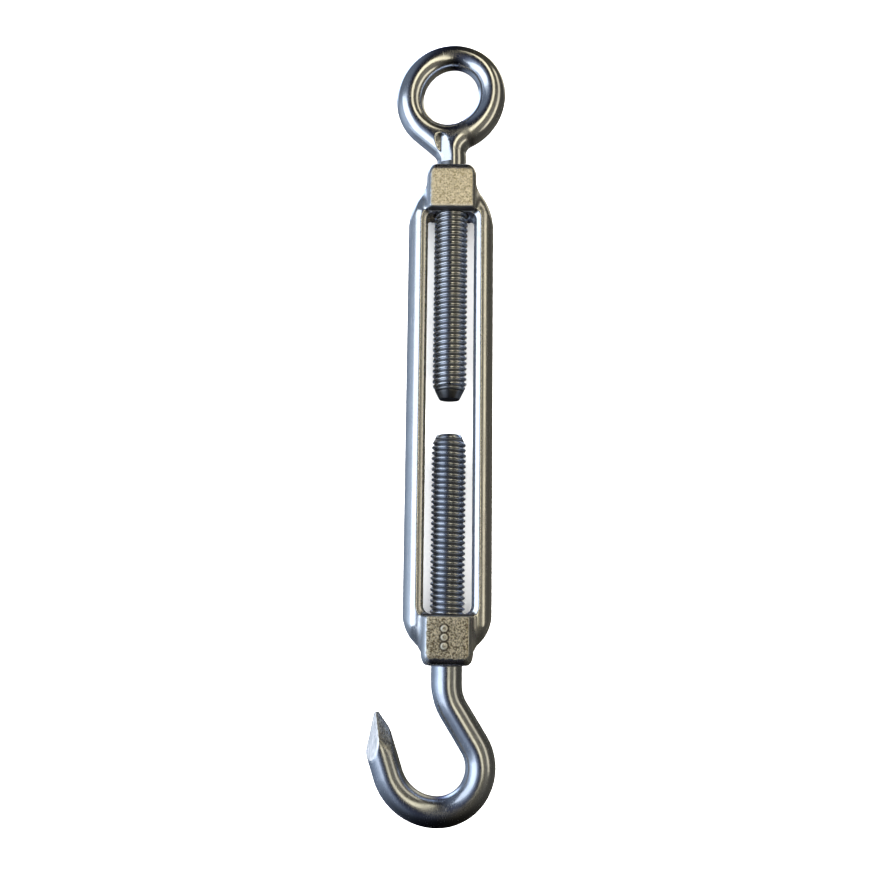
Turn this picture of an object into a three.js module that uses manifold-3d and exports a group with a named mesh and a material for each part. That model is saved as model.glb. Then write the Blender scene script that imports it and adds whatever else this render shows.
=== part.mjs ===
// Open-body rigging turnbuckle, M8, with an eye at one end and a hook at the other.
//
// It lies flat: the screw axis runs along Y (eye towards +Y, hook towards -Y), X is across the frame and
// Z is up. Every piece is modelled about the screw axis, with y = 0 half way along the frame. The finished
// group is then moved so that the middle of its bounding box, at the height of its base, is the origin.
//
// The real object is three pieces: a cast frame, an eye bolt with a right-hand thread and a hook bolt with a
// left-hand thread. Each bolt's plain turned point is a mesh of its own, because a point moves along the
// axis in the same way whether or not it turns, so it carries the sliding half of the screw motion.

import * as THREE from "three";
import { LoftGeometry } from "three/addons/geometries/LoftGeometry.js";
import { mergeVertices, toCreasedNormals } from "three/addons/utils/BufferGeometryUtils.js";
import Module from "manifold-3d";

const wasm = await Module();
wasm.setup();

// Thread, M8 coarse
const PITCH = 1.25;
const MAJOR_RADIUS = 3.95;
const THREAD_DEPTH = 0.65;
const CREST_SHARE = 0.2;
const THREAD_CLEARANCE = 0.17;
const THREAD_SIDES = 14;
const RIGHT_HAND = 1;
const LEFT_HAND = -1;

// Frame
const FRAME_LENGTH = 116.8;
const FRAME_WIDTH = 20.2;
const BOSS_LENGTH = 11.15;
const BOSS_WIDTH = 11.8;
const BOSS_CORNER = 1.5;
const BOSS_CHAMFER = 3;
const BOSS_CHAMFER_INSET = 1.4;
const RAIL_DEPTH = 8;
const RAIL_ROUNDING = 3.3;
const RAIL_FLAT = 0.6;
const WINDOW_WIDTH = 11;
const WINDOW_CORNER = 2.2;
const WINDOW_BEVEL = 0.6;
const EYE_SHOULDER_START = 48;
const EYE_SHOULDER_END = 54.9;
const HOOK_SHOULDER_START = 50.6;
const HOOK_SHOULDER_END = 55.6;
const SHOULDER_EASING = 2;
const SHOULDER_OVERLAP = 0.5;
const MOUTH_BEVEL = 0.25;

// Three cast pips on the hook-end boss, in place of a size mark
const PIP_RADIUS = 0.9;
const PIP_TOP_RADIUS = 0.6;
const PIP_HEIGHT = 0.3;
const PIP_SPACING = 1.9;
const PIP_OFFSET = -0.7;
const PIP_MIDDLE = -52.1;

// Eye bolt
const EYE_ROD_END = 2.2;
const EYE_POINT_LENGTH = 2;
const EYE_POINT_RADIUS = 2.35;
const EYE_CENTRE = new THREE.Vector2(-0.3, 77.2);
const EYE_HALF_WIDTH = 9.9;
const EYE_HALF_LENGTH = 10.4;
const EYE_LEAN = 0.09;
const EYE_WIRE_RADIUS = 3.3;
const EYE_CROWN_THINNING = 0.35;
const EYE_NECK_RADIUS = 3.45;
const EYE_BEND_RADIUS = 6;
const EYE_LEFT_ARM_ANGLE = 233;
const EYE_ARMS_MEET = 63;
const EYE_STEPS = 32;

// Hook bolt
const HOOK_ROD_END = -6.1;
const HOOK_POINT_LENGTH = 1;
const HOOK_POINT_RADIUS = 2.8;
const HOOK_SHANK_RADIUS = 3.5;
const HOOK_WIRE_RADIUS = 3.4;
const HOOK_BEND_START = -62.4;
const HOOK_BEND_RADIUS = 10.9;
const HOOK_BEND_ANGLE = 32;
const HOOK_STRAIGHT = 8.7;
const HOOK_BOWL_RADIUS = 9.55;
const HOOK_HEEL_RADIUS = 11.5;
const HOOK_ARM_LEAN = 18;
const HOOK_ARM_LENGTH = 6;
const HOOK_TIP_LENGTH = 7.8;
const HOOK_TIP_RADIUS = 0.8;
const HOOK_TIP_SHIFT = 1.5;
const HOOK_TIP_STEPS = 4;

// Shared by both bolts
const POINT_GAP = 0.1;
const NECK_START = 0.3;
const NECK_OVERLAP = 1;
const TURNING_MARGIN = 0.3;
const WIRE_SIDES = 16;
const CREASE_ANGLE = 0.6;

const halfLength = FRAME_LENGTH / 2;
const windowEnd = halfLength - BOSS_LENGTH;
const rootRadius = MAJOR_RADIUS - THREAD_DEPTH;
const turningRadius = MAJOR_RADIUS + TURNING_MARGIN;
const neckEndRadius = rootRadius - POINT_GAP;

// A closed three.js geometry as a solid that can be joined and cut.
function solid(geometry) {
  const bare = new THREE.BufferGeometry();
  bare.setAttribute("position", geometry.attributes.position);
  bare.setIndex(geometry.index);
  const merged = mergeVertices(bare, 1e-4);
  return new wasm.Manifold(new wasm.Mesh({
    numProp: 3,
    vertProperties: merged.attributes.position.array,
    triVerts: new Uint32Array(merged.index.array),
  }));
}

// A solid back as a three.js geometry, with its sharp edges kept sharp.
function geometryOf(manifold) {
  const { numProp, numVert, vertProperties, triVerts } = manifold.getMesh();
  const positions = new Float32Array(numVert * 3);
  for (let i = 0; i < numVert; i++) {
    positions.set(vertProperties.subarray(i * numProp, i * numProp + 3), i * 3);
  }
  const geometry = new THREE.BufferGeometry();
  geometry.setAttribute("position", new THREE.BufferAttribute(positions, 3));
  geometry.setIndex(new THREE.BufferAttribute(triVerts, 1));
  return toCreasedNormals(geometry, CREASE_ANGLE);
}

// A solid turned about the screw axis, from [radius, y] corners given in order of rising y.
function turned(corners, sides = 2 * THREAD_SIDES) {
  const profile = corners.map(([radius, y]) => new THREE.Vector2(radius, y));
  const first = new THREE.Vector2(0, profile[0].y);
  const last = new THREE.Vector2(0, profile.at(-1).y);
  return solid(new THREE.LatheGeometry([first, ...profile, last], sides));
}

// A helical thread about the screw axis from low to high. One turn of the helix is one pitch of y, so the
// surface is a strip that winds up the rod: its upper edge is the lower edge of the turn above. The strip
// runs onto the axis at both ends, which closes it.
function thread(hand, growth, low, high) {
  const profile = [
    [0, rootRadius],
    [0.5 - CREST_SHARE / 2, MAJOR_RADIUS],
    [0.5 + CREST_SHARE / 2, MAJOR_RADIUS],
    [1, rootRadius],
  ];
  const firstColumn = Math.floor((low / PITCH - 2) * THREAD_SIDES);
  const lastColumn = Math.ceil((high / PITCH + 2) * THREAD_SIDES);
  const strips = [];
  for (let column = firstColumn; column <= lastColumn; column++) {
    const side = ((column % THREAD_SIDES) + THREAD_SIDES) % THREAD_SIDES;
    const angle = hand * (side / THREAD_SIDES) * 2 * Math.PI;
    strips.push(profile.map(([share, radius]) => {
      const y = (PITCH * (column + share * THREAD_SIDES)) / THREAD_SIDES;
      if (y <= low) return new THREE.Vector3(0, low, 0);
      if (y >= high) return new THREE.Vector3(0, high, 0);
      const reach = radius + growth;
      return new THREE.Vector3(reach * Math.sin(angle), y, reach * Math.cos(angle));
    }));
    if (hand === RIGHT_HAND) strips.at(-1).reverse();
  }
  return solid(new LoftGeometry(strips, { closed: false }));
}

// A threaded rod whose ends follow the turned envelope.
function threadedRod(hand, envelope) {
  const low = envelope[0][1] - 2 * PITCH;
  const high = envelope.at(-1)[1] + 2 * PITCH;
  return thread(hand, 0, low, high).intersect(turned(envelope));
}

// The next place along a path that turns evenly: a chord of the given length, half the turn before and after.
function stepAlong({ x, y, heading }, chord, turn) {
  const direction = THREE.MathUtils.degToRad(heading + turn / 2);
  return { x: x + chord * Math.cos(direction), y: y + chord * Math.sin(direction), heading: heading + turn };
}

// A flat path of straight and curved lengths. Angles are in degrees, turned to the left where positive.
function walk(start, lengths) {
  const path = [start];
  for (const { ahead = 0, radius = 0, turn = 0, steps = 1 } of lengths) {
    const bend = turn / steps;
    const chord = ahead / steps + 2 * radius * Math.sin(THREE.MathUtils.degToRad(Math.abs(bend) / 2));
    for (let step = 0; step < steps; step++) path.push(stepAlong(path.at(-1), chord, bend));
  }
  return path;
}

// An oval section across a path, moved to the left: halfWidth is in the path's plane, halfDepth along Z.
function crossSection({ x, y, heading }, halfWidth, halfDepth = halfWidth, shift = 0) {
  const left = THREE.MathUtils.degToRad(heading + 90);
  const points = [];
  for (let side = 0; side < WIRE_SIDES; side++) {
    const angle = (side / WIRE_SIDES) * 2 * Math.PI;
    const reach = shift + halfWidth * Math.cos(angle);
    points.push(new THREE.Vector3(
      x + reach * Math.cos(left),
      y + reach * Math.sin(left),
      halfDepth * Math.sin(angle),
    ));
  }
  return points;
}

function loft(sections) {
  return solid(new LoftGeometry(sections, { capStart: true, capEnd: true }));
}

function extruded(shape, options) {
  return solid(new THREE.ExtrudeGeometry(shape, options));
}

// A square with rounded corners, across the screw axis at y.
function roundedSquare(half, corner, y) {
  const cornerSteps = 3;
  const points = [];
  for (let quarter = 0; quarter < 4; quarter++) {
    const middle = (quarter + 0.5) * (Math.PI / 2);
    const x = Math.sign(Math.sin(middle)) * (half - corner);
    const z = Math.sign(Math.cos(middle)) * (half - corner);
    for (let step = 0; step <= cornerSteps; step++) {
      const angle = (quarter + step / cornerSteps) * (Math.PI / 2);
      points.push(new THREE.Vector3(x + corner * Math.sin(angle), y, z + corner * Math.cos(angle)));
    }
  }
  return points;
}

// One square boss, with a rounded bevel round its outer end. end is 1 at the eye and -1 at the hook.
function boss(end) {
  const bevelSteps = 3;
  const half = BOSS_WIDTH / 2;
  const sections = [roundedSquare(half, BOSS_CORNER, end * windowEnd)];
  for (let step = 0; step <= bevelSteps; step++) {
    const angle = (step / bevelSteps) * (Math.PI / 2);
    const inset = BOSS_CHAMFER_INSET * (1 - Math.cos(angle));
    const y = halfLength - BOSS_CHAMFER * (1 - Math.sin(angle));
    sections.push(roundedSquare(half - inset, BOSS_CORNER + inset, end * y));
  }
  return loft(end > 0 ? sections : sections.reverse());
}

// A closed outline through [x, y, easing] corners, where a curve cuts each eased corner.
function easedOutline(corners) {
  const outline = new THREE.Shape();
  const points = corners.map(([x, y]) => new THREE.Vector2(x, y));
  points.forEach((point, index) => {
    const before = points.at(index - 1);
    const after = points[(index + 1) % points.length];
    const easing = corners[index][2];
    const from = point.clone().lerp(before, easing / point.distanceTo(before));
    const to = point.clone().lerp(after, easing / point.distanceTo(after));
    if (index === 0) outline.moveTo(from.x, from.y);
    else outline.lineTo(from.x, from.y);
    if (easing > 0) outline.quadraticCurveTo(point.x, point.y, to.x, to.y);
  });
  outline.closePath();
  return outline;
}

// Both rails and the shoulders that carry them to the bosses.
function railOutline() {
  const wide = FRAME_WIDTH / 2;
  const narrow = BOSS_WIDTH / 2 - SHOULDER_OVERLAP;
  return easedOutline([
    [wide, EYE_SHOULDER_START, SHOULDER_EASING],
    [narrow, EYE_SHOULDER_END, 0],
    [-narrow, EYE_SHOULDER_END, 0],
    [-wide, EYE_SHOULDER_START, SHOULDER_EASING],
    [-wide, -HOOK_SHOULDER_START, SHOULDER_EASING],
    [-narrow, -HOOK_SHOULDER_END, 0],
    [narrow, -HOOK_SHOULDER_END, 0],
    [wide, -HOOK_SHOULDER_START, SHOULDER_EASING],
  ]);
}

function windowOutline() {
  const x = WINDOW_WIDTH / 2 - WINDOW_CORNER;
  const y = windowEnd - WINDOW_CORNER;
  const outline = new THREE.Shape();
  outline.absarc(x, y, WINDOW_CORNER, 0, Math.PI / 2);
  outline.absarc(-x, y, WINDOW_CORNER, Math.PI / 2, Math.PI);
  outline.absarc(-x, -y, WINDOW_CORNER, Math.PI, Math.PI * 1.5);
  outline.absarc(x, -y, WINDOW_CORNER, Math.PI * 1.5, Math.PI * 2);
  outline.closePath();
  return outline;
}

// The rails with the window cut through them and its long edges bevelled on both faces.
function rails() {
  const bars = extruded(railOutline(), {
    depth: RAIL_FLAT,
    curveSegments: 3,
    bevelThickness: (RAIL_DEPTH - RAIL_FLAT) / 2,
    bevelSize: RAIL_ROUNDING,
    bevelOffset: -RAIL_ROUNDING,
    bevelSegments: 4,
  }).translate([0, 0, -RAIL_FLAT / 2]);
  const through = extruded(windowOutline(), {
    depth: 2 * RAIL_DEPTH,
    curveSegments: 4,
    bevelEnabled: false,
  });
  const flare = extruded(windowOutline(), {
    depth: RAIL_DEPTH,
    curveSegments: 4,
    bevelThickness: WINDOW_BEVEL,
    bevelSize: WINDOW_BEVEL,
    bevelSegments: 1,
  }).translate([0, 0, RAIL_DEPTH / 2]);
  return bars
    .subtract(through.translate([0, 0, -RAIL_DEPTH]))
    .subtract(flare)
    .subtract(flare.rotate([180, 0, 0]));
}

// The threaded hole through one boss, with a small bevel at each mouth.
function bore(end, hand) {
  const low = Math.min(end * windowEnd, end * halfLength);
  const high = low + BOSS_LENGTH;
  const reach = MAJOR_RADIUS + THREAD_CLEARANCE;
  const mouth = (y, way) => turned([
    [reach - way * MOUTH_BEVEL, y - MOUTH_BEVEL],
    [reach + way * MOUTH_BEVEL, y + MOUTH_BEVEL],
  ]);
  return thread(hand, THREAD_CLEARANCE, low - 3 * PITCH, high + 3 * PITCH)
    .add(mouth(low, -1))
    .add(mouth(high, 1));
}

function pips() {
  const marks = [-1, 0, 1].map((place) => {
    const pip = new THREE.CylinderGeometry(PIP_TOP_RADIUS, PIP_RADIUS, 2 * PIP_HEIGHT, WIRE_SIDES);
    pip.rotateX(Math.PI / 2);
    pip.translate(PIP_OFFSET, PIP_MIDDLE + place * PIP_SPACING, BOSS_WIDTH / 2);
    return solid(pip);
  });
  return marks.reduce((all, mark) => all.add(mark));
}

function frame() {
  return rails()
    .add(boss(1))
    .add(boss(-1))
    .add(pips())
    .subtract(bore(1, RIGHT_HAND))
    .subtract(bore(-1, LEFT_HAND));
}

// A place on the centre line of the eye's ring, an oval that leans to the right towards its crown.
function ringPlace(degrees) {
  const angle = THREE.MathUtils.degToRad(degrees);
  const along = EYE_HALF_LENGTH * Math.sin(angle);
  const rise = EYE_HALF_LENGTH * Math.cos(angle);
  const run = EYE_LEAN * rise - EYE_HALF_WIDTH * Math.sin(angle);
  return {
    x: EYE_CENTRE.x + EYE_HALF_WIDTH * Math.cos(angle) + EYE_LEAN * along,
    y: EYE_CENTRE.y + along,
    heading: THREE.MathUtils.radToDeg(Math.atan2(rise, run)),
  };
}

// The eye's ring: a closed loop of wire, a little thinner round its crown.
function eyeRing() {
  const sections = [];
  for (let step = 0; step <= EYE_STEPS; step++) {
    const degrees = ((step % EYE_STEPS) / EYE_STEPS) * 360;
    const crown = Math.max(Math.sin(THREE.MathUtils.degToRad(degrees)), 0);
    sections.push(crossSection(ringPlace(degrees), EYE_WIRE_RADIUS - EYE_CROWN_THINNING * crown ** 2));
  }
  return solid(new LoftGeometry(sections));
}

// The arm that bends from the neck into the right of the ring. The bend's centre lies one bend radius right
// of the screw axis, and the bend ends on the ring's centre line.
function rightArm() {
  const across = EYE_BEND_RADIUS - EYE_CENTRE.x;
  const along = Math.sqrt((EYE_HALF_LENGTH + EYE_BEND_RADIUS) ** 2 - across ** 2);
  const neckEnd = halfLength + NECK_START;
  const bendAngle = THREE.MathUtils.radToDeg(Math.atan2(across, along));
  const path = walk({ x: 0, y: neckEnd, heading: 90 }, [
    { ahead: EYE_CENTRE.y - along - neckEnd },
    { radius: EYE_BEND_RADIUS, turn: bendAngle - 90, steps: 6 },
  ]);
  return loft(path.map((place) => crossSection(place, EYE_NECK_RADIUS)));
}

// The straight arm that leaves the left of the ring and ends on the screw axis, inside the neck.
function leftArm() {
  const start = ringPlace(EYE_LEFT_ARM_ANGLE);
  const fall = EYE_ARMS_MEET - start.y;
  const heading = THREE.MathUtils.radToDeg(Math.atan2(fall, -start.x));
  const path = walk({ ...start, heading }, [{ ahead: Math.hypot(fall, start.x) }]);
  return loft(path.map((place) => crossSection(place, EYE_WIRE_RADIUS)));
}

function eyeBolt() {
  const start = EYE_ROD_END + EYE_POINT_LENGTH + POINT_GAP;
  const slope = EYE_POINT_LENGTH / (rootRadius - EYE_POINT_RADIUS);
  const shank = threadedRod(RIGHT_HAND, [
    [rootRadius, start],
    [turningRadius, start + (turningRadius - rootRadius) * slope],
    [turningRadius, halfLength],
  ]);
  const neck = turned([
    [neckEndRadius, halfLength - PITCH],
    [EYE_NECK_RADIUS, halfLength + NECK_START],
    [EYE_NECK_RADIUS, halfLength + NECK_START + NECK_OVERLAP],
  ]);
  return shank.add(neck).add(eyeRing()).add(rightArm()).add(leftArm());
}

function eyeBoltPoint() {
  return turned([
    [EYE_POINT_RADIUS, EYE_ROD_END],
    [rootRadius, EYE_ROD_END + EYE_POINT_LENGTH],
  ]);
}

// The hook: shank, a bend to the right, the bowl and the arm, then a ground tip set towards the inside.
function hook() {
  const shankStart = -halfLength - NECK_START;
  const path = walk({ x: 0, y: shankStart, heading: -90 }, [
    { ahead: shankStart - HOOK_BEND_START },
    { radius: HOOK_BEND_RADIUS, turn: HOOK_BEND_ANGLE, steps: 5 },
    { ahead: HOOK_STRAIGHT },
    { radius: HOOK_BOWL_RADIUS, turn: -90 - HOOK_BEND_ANGLE, steps: 12 },
    { radius: HOOK_HEEL_RADIUS, turn: HOOK_ARM_LEAN - 90, steps: 8 },
    { ahead: HOOK_ARM_LENGTH },
  ]);
  const sections = path.map((place) => crossSection(place, HOOK_WIRE_RADIUS));
  sections[0] = crossSection(path[0], HOOK_SHANK_RADIUS);
  sections[1] = crossSection(path[1], HOOK_SHANK_RADIUS);
  for (let step = 1; step <= HOOK_TIP_STEPS; step++) {
    const share = step / HOOK_TIP_STEPS;
    const place = stepAlong(path.at(-1), share * HOOK_TIP_LENGTH, 0);
    const width = THREE.MathUtils.lerp(HOOK_WIRE_RADIUS, HOOK_TIP_RADIUS, share);
    const depth = THREE.MathUtils.lerp(HOOK_WIRE_RADIUS, HOOK_TIP_RADIUS, share ** 2);
    sections.push(crossSection(place, width, depth, -HOOK_TIP_SHIFT * share));
  }
  return loft(sections);
}

function hookBolt() {
  const start = HOOK_ROD_END - HOOK_POINT_LENGTH - POINT_GAP;
  const slope = HOOK_POINT_LENGTH / (rootRadius - HOOK_POINT_RADIUS);
  const shank = threadedRod(LEFT_HAND, [
    [turningRadius, -halfLength],
    [turningRadius, start - (turningRadius - rootRadius) * slope],
    [rootRadius, start],
  ]);
  const neck = turned([
    [HOOK_SHANK_RADIUS, -halfLength - NECK_START - NECK_OVERLAP],
    [HOOK_SHANK_RADIUS, -halfLength - NECK_START],
    [neckEndRadius, -halfLength + PITCH],
  ]);
  return shank.add(neck).add(hook());
}

function hookBoltPoint() {
  return turned([
    [rootRadius, HOOK_ROD_END - HOOK_POINT_LENGTH],
    [HOOK_POINT_RADIUS, HOOK_ROD_END],
  ]);
}

const castSteel = new THREE.MeshStandardMaterial({ color: 0xc4c6c9, roughness: 0.22, metalness: 1 });
const boltSteel = new THREE.MeshStandardMaterial({ color: 0xb7bbc2, roughness: 0.16, metalness: 1 });

function mesh(name, manifold, material) {
  const piece = new THREE.Mesh(geometryOf(manifold), material);
  piece.name = name;
  return piece;
}

const turnbuckle = new THREE.Group();
turnbuckle.name = "turnbuckle";
turnbuckle.add(
  mesh("frame", frame(), castSteel),
  mesh("eye_bolt", eyeBolt(), boltSteel),
  mesh("eye_bolt_point", eyeBoltPoint(), boltSteel),
  mesh("hook_bolt", hookBolt(), boltSteel),
  mesh("hook_bolt_point", hookBoltPoint(), boltSteel),
);

const bounds = new THREE.Box3().setFromObject(turnbuckle, true);
const middle = bounds.getCenter(new THREE.Vector3());
turnbuckle.position.set(-middle.x, -middle.y, -bounds.min.z);

export default turnbuckle;
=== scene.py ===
"""An open-body rigging turnbuckle: a cast frame, an eye bolt and a hook bolt, in polished stainless steel.

Shapes are worked out in millimetres about the screw axis, with y = 0 half way along the frame, and are
moved into the row frame as meshes. The frame, the eye and the hook are each given by a distance function,
which is below zero inside the metal. A mesh is laid on the surface where it is zero.
"""

import math

import bmesh
import bpy
import numpy as np
from mathutils import Matrix, Vector


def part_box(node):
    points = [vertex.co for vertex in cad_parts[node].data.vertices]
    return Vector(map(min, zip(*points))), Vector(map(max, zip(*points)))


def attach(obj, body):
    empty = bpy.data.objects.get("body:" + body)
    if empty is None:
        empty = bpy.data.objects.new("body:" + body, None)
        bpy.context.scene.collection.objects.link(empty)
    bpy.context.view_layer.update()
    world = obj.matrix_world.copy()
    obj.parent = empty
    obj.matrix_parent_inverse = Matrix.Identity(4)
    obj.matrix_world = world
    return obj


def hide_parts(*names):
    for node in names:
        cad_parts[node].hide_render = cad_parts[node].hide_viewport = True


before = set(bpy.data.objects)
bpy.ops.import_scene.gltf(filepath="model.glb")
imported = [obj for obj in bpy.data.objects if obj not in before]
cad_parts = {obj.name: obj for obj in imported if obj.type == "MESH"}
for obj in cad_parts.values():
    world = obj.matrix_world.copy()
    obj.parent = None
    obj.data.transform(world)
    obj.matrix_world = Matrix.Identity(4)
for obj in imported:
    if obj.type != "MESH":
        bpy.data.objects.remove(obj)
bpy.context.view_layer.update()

MM = 0.001

# Thread, M8 coarse
PITCH = 1.25
MAJOR_RADIUS = 3.95
THREAD_DEPTH = 0.65
CREST_SHARE = 0.2
THREAD_CLEARANCE = 0.17
ROOT_RADIUS = MAJOR_RADIUS - THREAD_DEPTH
RIGHT_HAND = 1
LEFT_HAND = -1

# Cast frame. Each shoulder slopes in from the rails between two distances from the middle.
HALF_LENGTH = 58.4
HALF_WIDTH = 10.1
WINDOW_END = 47.25
WINDOW_HALF_WIDTH = 5.5
WINDOW_CORNER = 2.2
WINDOW_BEVEL = 1.1
BEVEL_COSINE = 0.866
BEVEL_SINE = 0.5
WINDOW_DRAFT = 0.5
BOSS_HALF = 5.9
BOSS_CORNERS = (1.6, 1.9)
BOSS_CORNER_HEIGHT = 1.6
BOSS_END = 3
BOSS_END_INSET = 1.4
BOSS_END_EDGE = 0.3
BOSS_INNER_EDGE = 0.7
MOUTH_DEPTH = 0.6
RAIL_HALF_DEPTH = 4
RAIL_CROWN = 3.9
EYE_SHOULDER = (48, 54.9)
HOOK_SHOULDER = (50.6, 55.6)
SHOULDER_INNER = 5.4
SHOULDER_EASING = 2.2
CAST_FILLET = 0.9
PIP_RADIUS = 0.9
PIP_HEIGHT = 0.3
PIP_SPACING = 1.9
PIP_OFFSET = -0.7
PIP_MIDDLE = -52.1
PIP_SLOPE = (0.8, 0.6)
PIP_EDGE = 0.15
PIP_FILLET = 0.1
PIP_FOOT = 4

# Eye bolt
EYE_CENTRE = (-0.3, 77.2)
EYE_HALF_WIDTH = 9.9
EYE_HALF_LENGTH = 10.4
EYE_LEAN = 0.09
EYE_WIRE = 3.3
EYE_CROWN_THINNING = 0.35
EYE_NECK = 3.45
EYE_BEND = 6
EYE_LEFT_ARM_ANGLE = math.radians(233)
EYE_ARMS_MEET = 63
EYE_NECK_THINS = (61, 64.5)
EYE_WELD = 0.8
EYE_WELD_REACH = 2
EYE_WELD_TOP = 66.5
# The flat ground on the weld: which way it faces in x and z, and where it starts to fade and how fast
EYE_FLAT_FACING = (-0.42, 0.907)
EYE_FLAT_DISTANCE = 3.2
EYE_FLAT_LEFT_END = (-2.4, 0.5)
EYE_FLAT_TOP_END = (65.2, 0.35)
EYE_FLAT_EDGE = 0.25
EYE_ROD_END = 2.2
EYE_POINT_LENGTH = 2
EYE_POINT_RADIUS = 2.35

# Hook bolt
HOOK_SHANK = 3.5
HOOK_WIRE = 3.4
HOOK_BEND_START = -62.4
# Straights by their length, and arcs by their radius and turn in degrees
HOOK_ROUTE = (("arc", 10.9, 32), ("line", 8.7), ("arc", 9.55, -122), ("arc", 11.5, -72), ("line", 6))
HOOK_TIP_LENGTH = 7.8
HOOK_UNCUT_LENGTH = HOOK_TIP_LENGTH + 5
# The tip's ground faces: reach from the centre line, taper along the arm, lean to front and back
HOOK_TIP_OUTER = (-0.7, 0.555, 0.9)
HOOK_TIP_INNER = (2.3, 0.324, 1.1)
HOOK_TIP_SOFTENING = 0.1
HOOK_TIP_RIDGE = 0.15
HOOK_TIP_END = 0.4
HOOK_TIP_BORDER = 0.25
HOOK_CUTS_LEFT_OF = -6
HOOK_CUTS_START = -4
HOOK_SHANK_THINS = (-66, -62)
HOOK_SIDES = (-18.6, 12)
HOOK_BOTTOM = -94.5
HOOK_ROD_END = -6.1
HOOK_POINT_LENGTH = 1
HOOK_POINT_RADIUS = 2.8

# Both bolts
NECK_START = 58.3
NECK_OVERLAP = 5
NECK_EDGE = 0.2
THREAD_RUN_OUT = 1.8
ROD_OVERLAP = 1.5
ROD_GAP = 0.02
NECK_GAP = 0.03
POINT_EDGE = 0.25

# Grid that the meshes are laid on
CELL = 0.2
RAIL_CELL = 1
RAIL_CELLS_END = 44

# Camera, in millimetres about the middle of the frame
CAMERA_PLACE = (-3.99, -46.75, 253.4)
CAMERA_TARGET = (-2.77, -6.52, 0)
CAMERA_ROLL = 0.012
CAMERA_ANGLE = math.radians(43.12)

rod_low, rod_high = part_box("eye_bolt_point")
frame_low, frame_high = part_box("frame")
ORIGIN = Vector((
    (rod_low.x + rod_high.x) / 2,
    (frame_low.y + frame_high.y) / 2,
    (rod_low.z + rod_high.z) / 2,
))


# ---------------------------------------------------------------- distance functions

def round_max(a, b, radius):
    """Both at once, with an edge of that radius."""
    corner = np.hypot(np.maximum(a + radius, 0), np.maximum(b + radius, 0))
    return np.minimum(np.maximum(a, b), -radius) + corner


def round_min(a, b, radius):
    """Either one, with a fillet of that radius between them."""
    return -round_max(-a, -b, radius)


def bevel_max(a, b, width):
    """Both at once, with a flat bevel that wide across a, 30 degrees to it."""
    return np.maximum(np.maximum(a, b), BEVEL_COSINE * a + BEVEL_SINE * (b + width))


def smooth_step(value, start, end):
    share = np.clip((value - start) / (end - start), 0, 1)
    return share * share * (3 - 2 * share)


def to_line(x, y, z, start, end):
    """Distance to a straight stretch of centre line in the plane z = 0."""
    along_x, along_y = end[0] - start[0], end[1] - start[1]
    share = ((x - start[0]) * along_x + (y - start[1]) * along_y) / (along_x**2 + along_y**2)
    share = np.clip(share, 0, 1)
    return np.sqrt((x - start[0] - share * along_x) ** 2 + (y - start[1] - share * along_y) ** 2 + z**2)


def to_arc(x, y, z, centre, radius, middle, half_sweep):
    """Distance to an arc of centre line in the plane z = 0, from its middle angle and half its sweep."""
    turn = np.arctan2(y - centre[1], x - centre[0]) - middle
    turn = (turn + math.pi) % (2 * math.pi) - math.pi
    angle = middle + np.clip(turn, -half_sweep, half_sweep)
    near_x = centre[0] + radius * np.cos(angle)
    near_y = centre[1] + radius * np.sin(angle)
    return np.sqrt((x - near_x) ** 2 + (y - near_y) ** 2 + z**2)


def thread_radius(share):
    """The thread's radius at a share of its pitch: V root at 0 and 1, flat crest in the middle."""
    rise = np.clip((0.5 - np.abs(share - 0.5)) / (0.5 - CREST_SHARE / 2), 0, 1)
    return ROOT_RADIUS + THREAD_DEPTH * rise


# ---------------------------------------------------------------- meshes on those surfaces

def slopes(distance, points, step=0.01):
    """Which way the distance grows at each point, and how fast."""
    columns = []
    for offset in np.eye(3) * step:
        ahead = distance(*(points + offset).T)
        behind = distance(*(points - offset).T)
        columns.append((ahead - behind) / (2 * step))
    return np.stack(columns, axis=1)


def settled(distance, points, most):
    """The points moved onto the surface, by at most that much a step."""
    for _ in range(5):
        slope = slopes(distance, points)
        steepness = np.maximum((slope**2).sum(axis=1), 1e-4)
        move = slope * (distance(*points.T) / steepness)[:, None]
        length = np.maximum(np.linalg.norm(move, axis=1), 1e-9)
        points = points - move * np.minimum(1, most / length)[:, None]
    return points


def evened(points, quads):
    """Each point at the mean of its neighbours."""
    start = quads.ravel()
    end = np.roll(quads, -1, axis=1).ravel()
    count = np.bincount(start, minlength=len(points))
    sums = [np.bincount(start, weights=points[end, axis], minlength=len(points)) for axis in range(3)]
    return np.stack(sums, axis=1) / count[:, None]


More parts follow.
